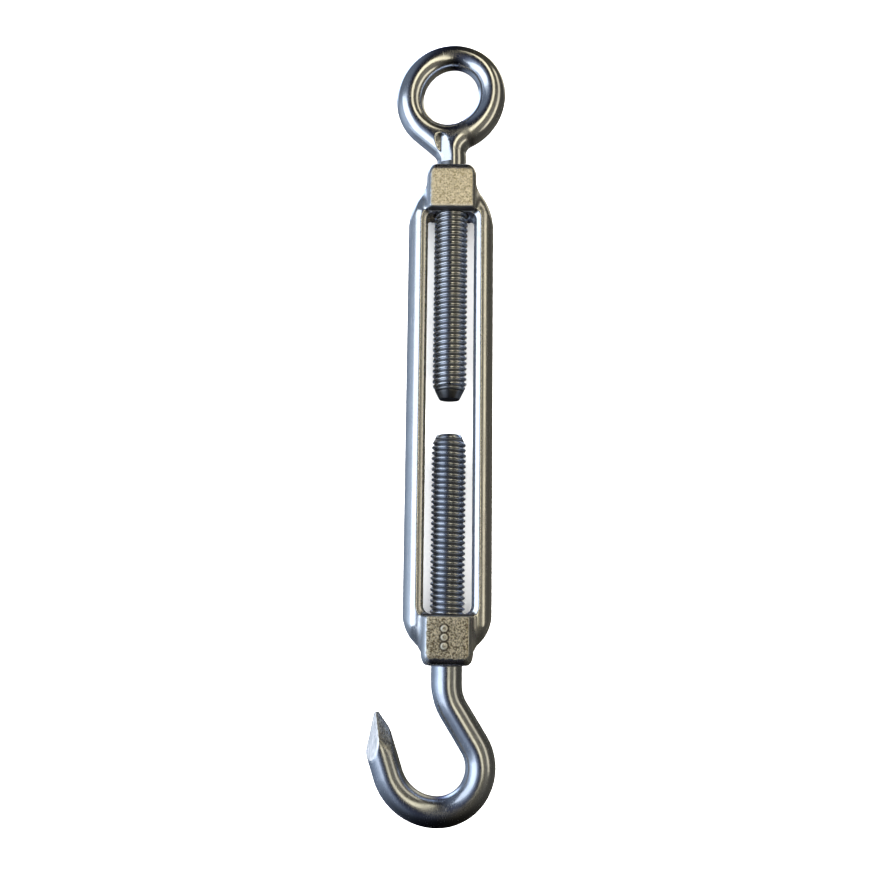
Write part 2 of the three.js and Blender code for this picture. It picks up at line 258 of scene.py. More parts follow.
def surface(distance, x_lines, y_lines, z_lines, most=0.15):
    """A closed mesh of quads where distance is 0, as points and faces. It has one point in each cell of the
    grid that the surface crosses, and one face round each edge of the grid that it crosses."""
    lines = (x_lines, y_lines, z_lines)
    inside = distance(*np.meshgrid(*lines, indexing="ij")) < 0
    wide, long, deep = (size - 1 for size in inside.shape)
    corners = sum(
        inside[i:wide + i, j:long + j, k:deep + k].astype(np.int8)
        for i in (0, 1) for j in (0, 1) for k in (0, 1)
    )
    crossed = (corners > 0) & (corners < 8)
    number = np.full(crossed.shape, -1)
    number[crossed] = np.arange(crossed.sum())
    cells = np.argwhere(crossed)
    middles = [(line[1:] + line[:-1]) / 2 for line in lines]
    points = np.stack([middles[axis][cells[:, axis]] for axis in range(3)], axis=1)

    faces = []
    for axis in range(3):
        before = np.take(inside, range(inside.shape[axis] - 1), axis)
        after = np.take(inside, range(1, inside.shape[axis]), axis)
        u = np.roll((1, 0, 0), (axis + 1) % 3)
        v = np.roll((1, 0, 0), (axis + 2) % 3)
        for leaving, order in ((before & ~after, (0, 1, 2, 3)), (after & ~before, (3, 2, 1, 0))):
            at = np.argwhere(leaving)
            ring = [at - u - v, at - v, at, at - u]
            faces.append(np.stack([number[tuple(ring[i].T)] for i in order], axis=1))
    quads = np.concatenate(faces)

    points = settled(distance, points, most)
    for _ in range(3):
        points = settled(distance, evened(points, quads), most)
    return points, quads


def bend(distance, points, reach=0.3):
    """How sharply the surface bends at each point: above 0 on outside edges, below 0 in hollows."""
    total = -6 * distance(*points.T)
    for offset in np.eye(3) * reach:
        total = total + distance(*(points + offset).T) + distance(*(points - offset).T)
    return total / reach**2


def edge_mark(bends, start):
    """From 0 where the surface bends outwards no more sharply than start, up to 1."""
    return np.clip(bends - start, 0, 1.5) / 1.5


def threaded_rod(hand, start, end, envelope):
    """A helical thread about the screw axis from start to end, as points, quads and the share of depth.
    Rows follow the helix: going once round it joins the row one pitch higher."""
    sides, rows = 40, 12
    first = math.floor(start / PITCH - 2) * rows
    last = math.ceil(end / PITCH + 2) * rows
    row, side = np.meshgrid(np.arange(first, last + 1), np.arange(sides), indexing="ij")
    y = PITCH * (row / rows + side / sides)
    radius = envelope(y, thread_radius((row % rows) / rows))
    outside = (y <= start) | (y >= end)
    radius = np.where(outside, 0, radius)
    y = np.clip(y, start, end)
    angle = hand * 2 * math.pi * side / sides
    points = np.stack([radius * np.sin(angle), y, radius * np.cos(angle)], axis=-1).reshape(-1, 3)
    depth = ((MAJOR_RADIUS - radius) / THREAD_DEPTH).clip(0, 1).ravel()

    number = np.arange(row.size).reshape(row.shape)
    beside = np.roll(number, -1, axis=1)
    beside[:-rows, -1] = number[rows:, 0]
    beside[-rows:, -1] = number[-1, 0]
    quads = np.stack([number[:-1], beside[:-1], beside[1:], number[1:]], axis=-1).reshape(-1, 4)
    if hand == RIGHT_HAND:
        quads = quads[:, ::-1]
    return points, quads, depth


def turned(corners, sides=64):
    """A solid turned about the screw axis from [radius, y] corners, as points and quads."""
    angle = np.arange(sides) * 2 * math.pi / sides
    rings = [
        np.stack([radius * np.sin(angle), np.full(sides, y), radius * np.cos(angle)], axis=1)
        for radius, y in corners
    ]
    number = np.arange(len(corners) * sides).reshape(len(corners), sides)
    beside = np.roll(number, -1, axis=1)
    quads = np.stack([number[:-1], number[1:], beside[1:], beside[:-1]], axis=-1).reshape(-1, 4)
    return np.concatenate(rings), quads[:, ::-1]


def eased_profile(corners, radius, steps=5):
    """The corners of a turned profile, each one but the first and last rounded by a short curve."""
    points = [np.array(corner, float) for corner in corners]
    eased = [points[0]]
    for before, corner, after in zip(points, points[1:], points[2:]):
        start = corner + (before - corner) * min(radius / np.linalg.norm(before - corner), 0.45)
        end = corner + (after - corner) * min(radius / np.linalg.norm(after - corner), 0.45)
        for share in np.linspace(0, 1, steps):
            eased.append((1 - share) ** 2 * start + 2 * share * (1 - share) * corner + share**2 * end)
    eased.append(points[-1])
    return eased


def joined(shapes):
    """Several (points, quads, marks) as one. marks are named values on the points."""
    points, quads, marks, count = [], [], {}, 0
    for shape_points, shape_quads, _ in shapes:
        points.append(shape_points)
        quads.append(shape_quads + count)
        count += len(shape_points)
    for name in sorted({name for shape in shapes for name in shape[2]}):
        marks[name] = np.concatenate([shape[2].get(name, np.zeros(len(shape[0]))) for shape in shapes])
    return np.concatenate(points), np.concatenate(quads), marks


def make_piece(name, shape, material, body, node):
    """A mesh object in the row frame that rides on a body and stands for a CAD node."""
    points, quads, marks = shape
    mesh = bpy.data.meshes.new(name)
    mesh.from_pydata((points * MM + np.array(ORIGIN)).tolist(), [], quads.tolist())
    for mark, values in marks.items():
        mesh.attributes.new(mark, "FLOAT", "POINT").data.foreach_set("value", values.astype(np.float32))
    cleaned = bmesh.new()
    cleaned.from_mesh(mesh)
    bmesh.ops.remove_doubles(cleaned, verts=cleaned.verts, dist=1e-7)
    bmesh.ops.dissolve_degenerate(cleaned, edges=cleaned.edges, dist=1e-8)
    cleaned.to_mesh(mesh)
    cleaned.free()
    mesh.shade_smooth()
    mesh.materials.append(material)
    made = bpy.data.objects.new(name, mesh)
    bpy.context.scene.collection.objects.link(made)
    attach(made, body)
    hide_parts(node)
    return made


# ---------------------------------------------------------------- the cast frame

def boss(x, y, z, end):
    """One square boss. Its long edges are rounded, deeper than they are wide, and it narrows at its end."""
    corner = BOSS_CORNERS[0] if end > 0 else BOSS_CORNERS[1]
    share = np.clip((end * y - HALF_LENGTH + BOSS_END) / BOSS_END, 0, 1)
    inset = BOSS_END_INSET * (1 - np.sqrt(1 - share**2))
    side_x = np.abs(x) - BOSS_HALF + inset
    side_z = (np.abs(z) - BOSS_HALF + inset) / BOSS_CORNER_HEIGHT
    square = round_max(side_x, side_z, corner)
    outer = round_max(square, end * y - HALF_LENGTH, BOSS_END_EDGE)
    return round_max(outer, WINDOW_END - end * y, BOSS_INNER_EDGE)


def shoulder(x, y, start, end):
    """The sloping line in plan that runs from a rail in to a boss."""
    across, along = HALF_WIDTH - SHOULDER_INNER, end - start
    length = math.hypot(across, along)
    return ((np.abs(x) - HALF_WIDTH) * along + (y - start) * across) / length


def rails(x, y, z):
    """Both rails and their shoulders: crowned on the outside, flat inside."""
    plan = np.abs(x) - HALF_WIDTH
    plan = round_max(plan, shoulder(x, y, *EYE_SHOULDER), SHOULDER_EASING)
    plan = round_max(plan, shoulder(x, -y, *HOOK_SHOULDER), SHOULDER_EASING)
    plan = np.maximum(plan, np.abs(y) - EYE_SHOULDER[1])
    across = np.maximum((plan + RAIL_CROWN) / RAIL_CROWN, 0)
    up = np.abs(z) / RAIL_HALF_DEPTH
    return (np.hypot(across, up) - 1) * RAIL_CROWN


def window(x, y, z):
    """The long opening, below zero inside it. Its sides slope a little, so it is widest at both faces."""
    side = np.abs(x) - WINDOW_HALF_WIDTH - WINDOW_DRAFT * np.abs(z) / RAIL_HALF_DEPTH
    end = np.abs(y) - WINDOW_END
    return round_max(side, end, WINDOW_CORNER)


def bore(x, y, z):
    """The threaded hole through each boss, below zero inside the hole."""
    hand = np.where(y > 0, RIGHT_HAND, LEFT_HAND)
    share = (y / PITCH - hand * np.arctan2(x, z) / (2 * math.pi)) % 1
    radius = np.hypot(x, z)
    mouth = np.maximum(np.abs(y) - HALF_LENGTH, WINDOW_END - np.abs(y))
    widening = np.clip(mouth + MOUTH_DEPTH, 0, 1)
    return radius - np.maximum(thread_radius(share), ROOT_RADIUS + widening) - THREAD_CLEARANCE


def pips(x, y, z):
    """Three cast pips in a row on the front of the hook-end boss, with sloping sides and flat tops."""
    nearest = np.clip(np.round((y - PIP_MIDDLE) / PIP_SPACING), -1, 1) * PIP_SPACING + PIP_MIDDLE
    across = np.hypot(x - PIP_OFFSET, y - nearest) - PIP_RADIUS
    side = across * PIP_SLOPE[0] + (z - BOSS_HALF) * PIP_SLOPE[1]
    pip = round_max(side, z - BOSS_HALF - PIP_HEIGHT, PIP_EDGE)
    return np.maximum(pip, PIP_FOOT - z)


def casting(x, y, z):
    """The whole frame: rails with their window bevelled, both bosses and the pips, less the bores."""
    body = bevel_max(rails(x, y, z), -window(x, y, z), WINDOW_BEVEL)
    body = round_min(body, boss(x, y, z, 1), CAST_FILLET)
    body = round_min(body, boss(x, y, z, -1), CAST_FILLET)
    body = round_min(body, pips(x, y, z), PIP_FILLET)
    return np.maximum(body, -bore(x, y, z))


def frame_shape():
    """The casting's mesh, with short cells at its bosses and long ones down its rails. Its marks are cast
    on the bosses' unpolished faces, pale at the eye's end, and one more on the bosses' inner ends, which
    the material makes rougher and darkens as painted shade; the marks of its hollows feed painted shade as
    well."""
    ends = np.arange(RAIL_CELLS_END, HALF_LENGTH + 2 * CELL, CELL)
    between = np.arange(-RAIL_CELLS_END + RAIL_CELL, RAIL_CELLS_END, RAIL_CELL)
    y_lines = np.concatenate([-ends[::-1], between, ends])
    x_lines = np.arange(-HALF_WIDTH - 2 * CELL, HALF_WIDTH + 2 * CELL, CELL)
    z_lines = np.arange(-BOSS_HALF - 3 * CELL, BOSS_HALF + 4 * CELL, CELL)
    points, quads = surface(casting, x_lines, y_lines, z_lines)
    x, y, z = points.T
    bends = bend(casting, points)
    on_boss = smooth_step(np.abs(y), WINDOW_END - 0.1, WINDOW_END + 0.2)
    from_inner_end = np.abs(np.abs(y) - WINDOW_END)
    inner_end = smooth_step(-from_inner_end, -0.3, -0.1) * (np.abs(x) < WINDOW_HALF_WIDTH)
    marks = {
        "edge": edge_mark(bends, 0.5),
        "hollow": np.clip(-bends - 0.2, 0, 1.2) / 1.2,
        "cast": on_boss * smooth_step(np.abs(z), BOSS_HALF - 0.3, BOSS_HALF - 0.05),
        "pale": (y > 0).astype(float),
        "dull_and_shaded": inner_end * (np.hypot(x, z) > ROOT_RADIUS),
    }
    return points, quads, marks


# ---------------------------------------------------------------- the eye bolt

def ring_place(angle):
    """A place on the centre line of the eye's loop, which leans a little to the right."""
    along = EYE_HALF_LENGTH * np.sin(angle)
    return EYE_CENTRE[0] + EYE_HALF_WIDTH * np.cos(angle) + EYE_LEAN * along, EYE_CENTRE[1] + along


def eye_ring(x, y, z):
    """The oval loop, a little thinner round its crown."""
    along = y - EYE_CENTRE[1]
    across = x - EYE_CENTRE[0] - EYE_LEAN * along
    angle = np.arctan2(along / EYE_HALF_LENGTH, across / EYE_HALF_WIDTH)
    near_x, near_y = ring_place(angle)
    wire = EYE_WIRE - EYE_CROWN_THINNING * np.maximum(np.sin(angle), 0) ** 2
    return np.sqrt((x - near_x) ** 2 + (y - near_y) ** 2 + z**2) - wire


def arm_bend():
    """Where the bend from the neck starts, in y, and the angle it turns through to meet the loop."""
    places = np.stack(ring_place(np.radians(np.linspace(270, 330, 1201))))
    lowest, highest = 50, 70
    for _ in range(40):
        start = (lowest + highest) / 2
        reach = np.hypot(places[0] - EYE_BEND, places[1] - start)
        lowest, highest = (lowest, start) if reach.min() < EYE_BEND else (start, highest)
    met = places[:, reach.argmin()]
    return start, math.pi - math.atan2(met[1] - start, met[0] - EYE_BEND)


BEND_START, BEND_SWEEP = arm_bend()


def eye_loop(x, y, z):
    """The loop, the bent arm and the straight arm, run together where they are welded, with a flat ground
    on the weld's left front that fades out to the left and to the top."""
    bent_arm = to_arc(
        x, y, z, (EYE_BEND, BEND_START), EYE_BEND, math.pi - BEND_SWEEP / 2, BEND_SWEEP / 2
    )
    neck = to_line(x, y, z, (0, NECK_START - NECK_OVERLAP), (0, BEND_START))
    straight_arm = to_line(x, y, z, ring_place(EYE_LEFT_ARM_ANGLE), (0, EYE_ARMS_MEET)) - EYE_WIRE
    thinning = (EYE_NECK - EYE_WIRE) * smooth_step(y, *EYE_NECK_THINS)
    arm_and_neck = np.minimum(bent_arm, neck) - EYE_NECK + thinning

    rise = np.clip(y - BEND_START, 0, EYE_BEND - 0.01)
    arm_x = EYE_BEND - np.sqrt(EYE_BEND**2 - rise**2)
    left_of_arm = smooth_step(arm_x - x, 0, EYE_WELD_REACH)
    weld = 0.01 + EYE_WELD * left_of_arm * smooth_step(EYE_WELD_TOP - y, 0, EYE_WELD_REACH)
    loop = round_min(np.minimum(eye_ring(x, y, z), straight_arm), arm_and_neck, weld)

    flat = EYE_FLAT_FACING[1] * z + EYE_FLAT_FACING[0] * x - EYE_FLAT_DISTANCE
    for past, fading in (
        (EYE_FLAT_LEFT_END[0] - x, EYE_FLAT_LEFT_END[1]),
        (y - EYE_FLAT_TOP_END[0], EYE_FLAT_TOP_END[1]),
    ):
        flat = flat - fading * np.maximum(past, 0) ** 2
    loop = round_max(loop, flat, EYE_FLAT_EDGE)
    return round_max(loop, NECK_START - y, NECK_EDGE)


def eye_shape():
    reach = EYE_HALF_WIDTH + EYE_WIRE + 8 * CELL
    x_lines = np.arange(EYE_CENTRE[0] - reach, EYE_CENTRE[0] + reach, CELL)
    top = EYE_CENTRE[1] + EYE_HALF_LENGTH + EYE_WIRE
    y_lines = np.arange(NECK_START - 2 * CELL, top + 2 * CELL, CELL)
    z_lines = np.arange(-EYE_NECK - 3 * CELL, EYE_NECK + 4 * CELL, CELL)
    points, quads = surface(eye_loop, x_lines, y_lines, z_lines)
    bends = bend(eye_loop, points)
    # the concave places at the weld are marked for painted shade
    marks = {"edge": edge_mark(bends, 0.8), "hollow": np.clip(-bends - 0.3, 0, 1) * 0.7}
    return points, quads, marks


def rod_shape(hand, start, end, envelope):
    """A threaded rod, marked for painted shade towards the roots of its thread, and rubbed on its crests.
    """
    points, quads, depth = threaded_rod(hand, start, end, envelope)
    marks = {"hollow": depth**2, "edge": (depth < 0.05) * 0.5, "thread": np.ones(len(points))}
    return points, quads, marks


def eye_bolt_shape():
    """The eye and its rod. The thread narrows to the rod's point and runs out into the neck."""
    start = EYE_ROD_END + EYE_POINT_LENGTH + ROD_GAP
    slope = (ROOT_RADIUS - EYE_POINT_RADIUS) / EYE_POINT_LENGTH

    def envelope(y, radius):
        chamfer = ROOT_RADIUS + (y - start) * slope
        run_out = smooth_step(y, HALF_LENGTH - THREAD_RUN_OUT, HALF_LENGTH)
        return np.minimum(radius, chamfer) * (1 - run_out) + (EYE_NECK - NECK_GAP) * run_out

    return joined([eye_shape(), rod_shape(RIGHT_HAND, start, HALF_LENGTH + ROD_OVERLAP, envelope)])


def point_shape(end_radius, end, base):
    """The plain turned end of a rod, from its flat end to where the thread starts."""
    corners = [(0, end), (end_radius, end), (ROOT_RADIUS, base), (0, base)]
    points, quads = turned(eased_profile(corners, POINT_EDGE))
    marks = {"turned": np.ones(len(points))}
    return points, quads if end < base else quads[:, ::-1], marks


# ---------------------------------------------------------------- the hook bolt

def hook_centre_line():
    """The hook's straights and arcs in order, and where its tip starts: x, y and heading."""
    x, y, heading = 0, HOOK_BEND_START, -math.pi / 2
    stretches = [("line", (0, -NECK_START + NECK_OVERLAP), (x, y))]
    for kind, size, *turn in HOOK_ROUTE:
        if kind == "line":
            end = (x + size * math.cos(heading), y + size * math.sin(heading))
            stretches.append(("line", (x, y), end))
            x, y = end
            continue
        turn = math.radians(turn[0])
        side = math.copysign(math.pi / 2, turn)
        centre = (x + size * math.cos(heading + side), y + size * math.sin(heading + side))
        middle = heading + turn / 2 - side
        stretches.append(("arc", centre, size, middle, abs(turn) / 2))
        heading += turn
        x = centre[0] + size * math.cos(heading - side)
        y = centre[1] + size * math.sin(heading - side)
    return stretches, (x, y, heading)


HOOK_STRETCHES, HOOK_ARM_END = hook_centre_line()


def arm_coordinates(x, y):
    """How far past the end of the hook's arm a point lies, and how far to the outside of it."""
    end_x, end_y, heading = HOOK_ARM_END
    ahead = (x - end_x) * math.cos(heading) + (y - end_y) * math.sin(heading)
    outwards = -(x - end_x) * math.sin(heading) + (y - end_y) * math.cos(heading)
    return ahead, outwards


def tip_cuts(x, y, z):
    """The ground faces that bring the hook's end to a blunt point on its inner side. Each has its reach
    from the arm's centre line at the tip, its taper along the arm and its lean towards front and back."""
    ahead, outwards = arm_coordinates(x, y)
    left = HOOK_TIP_LENGTH - ahead
    height = np.sqrt(z**2 + HOOK_TIP_SOFTENING)
    cuts = []
    for side, (reach, taper, lean) in ((outwards, HOOK_TIP_OUTER), (-outwards, HOOK_TIP_INNER)):
        cuts.append((side + lean * height - reach - taper * left) / math.sqrt(1 + lean**2 + taper**2))
    return round_max(round_max(*cuts, HOOK_TIP_RIDGE), -left, HOOK_TIP_END)


def hook_metal(x, y, z):
    """The hook's round wire, before its tip is ground."""
    radius = HOOK_WIRE + (HOOK_SHANK - HOOK_WIRE) * smooth_step(y, *HOOK_SHANK_THINS)
    end_x, end_y, heading = HOOK_ARM_END
    tip_x = end_x + HOOK_UNCUT_LENGTH * math.cos(heading)
    tip_y = end_y + HOOK_UNCUT_LENGTH * math.sin(heading)
    nearest = to_line(x, y, z, (end_x, end_y), (tip_x, tip_y))
    for kind, *facts in HOOK_STRETCHES:
        measure = to_line if kind == "line" else to_arc
        nearest = np.minimum(nearest, measure(x, y, z, *facts))
    return round_max(nearest - radius, NECK_START + y, NECK_EDGE)


def hook_form(x, y, z):
    """The whole hook, with the tip's cuts kept to the end of its arm."""
    near_tip = (x < HOOK_CUTS_LEFT_OF) & (arm_coordinates(x, y)[0] > HOOK_CUTS_START)
    well_inside = -9
    cuts = np.where(near_tip, tip_cuts(x, y, z), well_inside)
    return round_max(hook_metal(x, y, z), cuts, HOOK_TIP_BORDER)


def hook_shape():
    """The hook's mesh. Its marks are ground on the tip's faces and outer_face on the outer one of them,
    which the material paints pale as a painted highlight.
    """
    x_lines = np.arange(*HOOK_SIDES, CELL)
    y_lines = np.arange(HOOK_BOTTOM, -NECK_START + 2 * CELL, CELL)
    z_lines = np.arange(-HOOK_SHANK - 3 * CELL, HOOK_SHANK + 4 * CELL, CELL)
    points, quads = surface(hook_form, x_lines, y_lines, z_lines)
    bends = bend(hook_form, points)
    ahead, _ = arm_coordinates(points[:, 0], points[:, 1])
    ground = (hook_metal(*points.T) < -0.05) & (ahead > -3)
    heading = HOOK_ARM_END[2]
    outwards = np.array([-math.sin(heading), math.cos(heading), 0])
    outer_face = ground & (slopes(hook_form, points) @ outwards > 0.2)
    marks = {
        "edge": edge_mark(bends, 0.6),
        "ground": ground.astype(float),
        "outer_face": outer_face.astype(float),
    }
    return points, quads, marks


def hook_bolt_shape():
    """The hook and its rod, made like the eye's."""
    end = HOOK_ROD_END - HOOK_POINT_LENGTH - ROD_GAP
    slope = (ROOT_RADIUS - HOOK_POINT_RADIUS) / HOOK_POINT_LENGTH

    def envelope(y, radius):
        chamfer = ROOT_RADIUS + (end - y) * slope
        run_out = smooth_step(-y, HALF_LENGTH - THREAD_RUN_OUT, HALF_LENGTH)
        return np.minimum(radius, chamfer) * (1 - run_out) + (HOOK_SHANK - NECK_GAP) * run_out

    return joined([hook_shape(), rod_shape(LEFT_HAND, -HALF_LENGTH - ROD_OVERLAP, end, envelope)])


# ---------------------------------------------------------------- materials

class Nodes:
    """A material's node tree, with short calls for the nodes used here."""

    def __init__(self, name):
        self.material = bpy.data.materials.new(name)
        self.material.use_nodes = True
        self.tree = self.material.node_tree
        self.shader = self.tree.nodes["Principled BSDF"]
        coordinates = self.tree.nodes.new("ShaderNodeTexCoord")
        self.place = coordinates.outputs["Object"]

    def link(self, source, target):
        if isinstance(source, (int, float, tuple)):
            target.default_value = source
        else:
            self.tree.links.new(source, target)

    def mark(self, name):
        """A value kept on the mesh's points."""
        node = self.tree.nodes.new("ShaderNodeAttribute")
        node.attribute_name = name
        return node.outputs["Fac"]

    def maths(self, operation, a, b=0.0, c=0.0):
        node = self.tree.nodes.new("ShaderNodeMath")
        node.operation = operation
        for value, socket in zip((a, b, c), node.inputs):
            self.link(value, socket)
        return node.outputs[0]

    def noise(self, per_mm, detail=3.0, stretch=(1, 1, 1), roughness=0.5):
        """Noise with that many features a millimetre, drawn out along an axis where stretch is below 1."""
        mapping = self.tree.nodes.new("ShaderNodeMapping")
        mapping.inputs["Scale"].default_value = [share * per_mm / MM for share in stretch]
        self.link(self.place, mapping.inputs["Vector"])
        node = self.tree.nodes.new("ShaderNodeTexNoise")
        node.inputs["Scale"].default_value = 1
        node.inputs["Detail"].default_value = detail
        node.inputs["Roughness"].default_value = roughness
        self.link(mapping.outputs[0], node.inputs["Vector"])
        return node.outputs["Fac"]

    def ramp(self, value, low_end, high_end, low=0.0, high=1.0):
        """A value spread from low at low_end to high at high_end."""
        node = self.tree.nodes.new("ShaderNodeMapRange")
        facts = {"From Min": low_end, "From Max": high_end, "To Min": low, "To Max": high}
        for name, number in facts.items():
            node.inputs[name].default_value = number
        self.link(value, node.inputs["Value"])
        return node.outputs[0]

    def mix(self, share, first, second):
        """Two colours mixed, the second where share is 1."""
        node = self.tree.nodes.new("ShaderNodeMix")
        node.data_type = "RGBA"
        colours = [socket for socket in node.inputs if socket.type == "RGBA"]
        self.link(share, node.inputs["Factor"])
        self.link(first, colours[0])
        self.link(second, colours[1])
        return next(socket for socket in node.outputs if socket.type == "RGBA")

    def bump(self, height, strength, distance_mm, before=None):
        node = self.tree.nodes.new("ShaderNodeBump")
        node.inputs["Distance"].default_value = distance_mm * MM
        self.link(strength, node.inputs["Strength"])
        self.link(height, node.inputs["Height"])
        if before is not None:
            self.link(before, node.inputs["Normal"])
        return node.outputs[0]


def polished_steel(name, tint, smear, polish, pit_and_shade_colour):
    """Polished stainless steel with buffing lines, cloudy patches, rubbed edges, and painted shade that
    darkens its hollows and thread roots. tint is its colour and smear a second, cloudy one. polish is its
    roughness.
    The last argument is the dark colour of its pits and of that painted shade."""
    nodes = Nodes(name)
    clouds = nodes.ramp(nodes.noise(0.16, 4), 0.38, 0.66)
    lines = nodes.noise(2.2, 4, (1, 0.06, 1), 0.65)
    scratches = nodes.ramp(nodes.noise(5, 2, (1, 0.02, 0.6)), 0.66, 0.74)
    pits = nodes.ramp(nodes.noise(3.2, 2), 0.7, 0.8)

    colour = nodes.mix(clouds, tint, smear)
    colour = nodes.mix(nodes.maths("MULTIPLY", pits, 0.35), colour, pit_and_shade_colour)
    edge = nodes.maths("MULTIPLY", nodes.mark("edge"), nodes.ramp(nodes.noise(0.9, 4), 0.3, 0.6))
    colour = nodes.mix(nodes.maths("MULTIPLY", edge, 0.5), colour, (0.86, 0.86, 0.87, 1))
    # painted shade: hollows and thread roots darkened, in patches, and fully along the threads
    patches = nodes.ramp(nodes.noise(1.1, 4), 0.25, 0.6, 0.45, 1)
    shade_patches = nodes.maths("ADD", patches, nodes.mark("thread"))
    hollow_shade = nodes.maths("MULTIPLY", nodes.mark("hollow"), nodes.maths("MINIMUM", shade_patches, 1))
    colour = nodes.mix(nodes.maths("MULTIPLY", hollow_shade, 0.92), colour, pit_and_shade_colour)

    rough = nodes.maths("ADD", polish, nodes.ramp(lines, 0.3, 0.75, 0, 0.05))
    rough = nodes.maths("ADD", rough, nodes.ramp(clouds, 0, 1, 0, 0.05))
    rough = nodes.maths("ADD", rough, nodes.maths("MULTIPLY", scratches, 0.12))
    rough = nodes.maths("ADD", rough, nodes.maths("MULTIPLY", edge, 0.1))
    rough = nodes.maths("ADD", rough, nodes.maths("MULTIPLY", hollow_shade, 0.3))

    relief = nodes.bump(lines, 0.10, 0.02)
    relief = nodes.bump(nodes.noise(0.35, 2), 0.12, 0.1, relief)
    relief = nodes.bump(scratches, 0.12, 0.01, relief)
    nodes.shader.inputs["Metallic"].default_value = 1
    return nodes, colour, rough, relief


def finish(nodes, colour, rough, relief):
    """The material, with its colour, roughness and bump joined to its shader."""
    nodes.link(colour, nodes.shader.inputs["Base Color"])
    nodes.link(rough, nodes.shader.inputs["Roughness"])
    nodes.link(relief, nodes.shader.inputs["Normal"])
    return nodes.material


def cast_material():
    """Polished rails, and boss faces left with the casting's fine, warm grain, paler at the eye's end, with
    painted shade in the hollows round the pips and on the bosses' inner ends.
    """
    nodes, colour, rough, relief = polished_steel(
        "polished_casting", (0.80, 0.81, 0.83, 1), (0.72, 0.73, 0.76, 1), 0.18, (0.05, 0.045, 0.04, 1)
    )
    ragged = nodes.ramp(nodes.noise(1.4, 3), 0.3, 0.7, -0.25, 0.25)
    skin = nodes.ramp(nodes.maths("ADD", nodes.mark("cast"), ragged), 0.3, 0.7)
    grain = nodes.noise(2.4, 4, roughness=0.6)
    pale = nodes.mark("pale")
    deep = nodes.mix(nodes.ramp(grain, 0.4, 0.6), (0.17, 0.14, 0.09, 1), (0.76, 0.68, 0.52, 1))
    light = nodes.mix(nodes.ramp(grain, 0.35, 0.65), (0.38, 0.31, 0.18, 1), (0.86, 0.76, 0.55, 1))
    skin_colour = nodes.mix(pale, deep, light)
    specks = nodes.ramp(nodes.noise(1.7, 4), 0.56, 0.70)
    skin_colour = nodes.mix(nodes.maths("MULTIPLY", specks, 0.45), skin_colour, (0.16, 0.11, 0.08, 1))
    colour = nodes.mix(skin, colour, skin_colour)
    # painted shade: the hollows of the cast faces, round the pips' feet, darkened
    shade_around_pips = nodes.maths("MULTIPLY", nodes.mark("hollow"), skin)
    colour = nodes.mix(nodes.maths("MULTIPLY", shade_around_pips, 0.8), colour, (0.06, 0.05, 0.035, 1))
    worn = nodes.maths("MULTIPLY", nodes.mark("edge"), skin)
    colour = nodes.mix(nodes.maths("MULTIPLY", worn, 0.9), colour, (0.93, 0.88, 0.76, 1))
    border = nodes.maths("SUBTRACT", 1, nodes.maths("ABSOLUTE", nodes.maths("MULTIPLY_ADD", skin, 2, -1)))
    colour = nodes.mix(nodes.maths("MULTIPLY", border, 0.8), colour, (0.05, 0.045, 0.04, 1))
    # painted shade: the bosses' inner ends, which face into the window, darkened to near black; they are
    # also made rougher
    colour = nodes.mix(nodes.maths("MULTIPLY", nodes.mark("dull_and_shaded"), 0.85), colour, (0.05, 0.045, 0.05, 1))
    rough = nodes.maths("ADD", rough, nodes.maths("MULTIPLY", skin, 0.34))
    rough = nodes.maths("ADD", rough, nodes.maths("MULTIPLY", nodes.mark("dull_and_shaded"), 0.4))
    relief = nodes.bump(grain, nodes.maths("MULTIPLY", skin, 0.7), 0.14, relief)
    matt = nodes.maths("MULTIPLY", skin, nodes.maths("MULTIPLY_ADD", pale, 0.04, 0.02))
    nodes.link(nodes.maths("SUBTRACT", 1, matt), nodes.shader.inputs["Metallic"])
    return finish(nodes, colour, rough, relief)


def eye_material():
    """Bright polish, with fine lathe marks on the rod's turned end."""
    nodes, colour, rough, relief = polished_steel(
        "polished_eye_bolt", (0.76, 0.78, 0.82, 1), (0.66, 0.68, 0.74, 1), 0.13, (0.03, 0.03, 0.035, 1)
    )
    lathe = nodes.noise(6, 3, (0.02, 1, 0.02))
    turned_end = nodes.mark("turned")
    colour = nodes.mix(nodes.maths("MULTIPLY", turned_end, 0.85), colour, (0.05, 0.05, 0.055, 1))
    rough = nodes.maths("ADD", rough, nodes.maths("MULTIPLY", turned_end, 0.2))
    relief = nodes.bump(lathe, nodes.maths("MULTIPLY", turned_end, 0.6), 0.03, relief)
    return finish(nodes, colour, rough, relief)


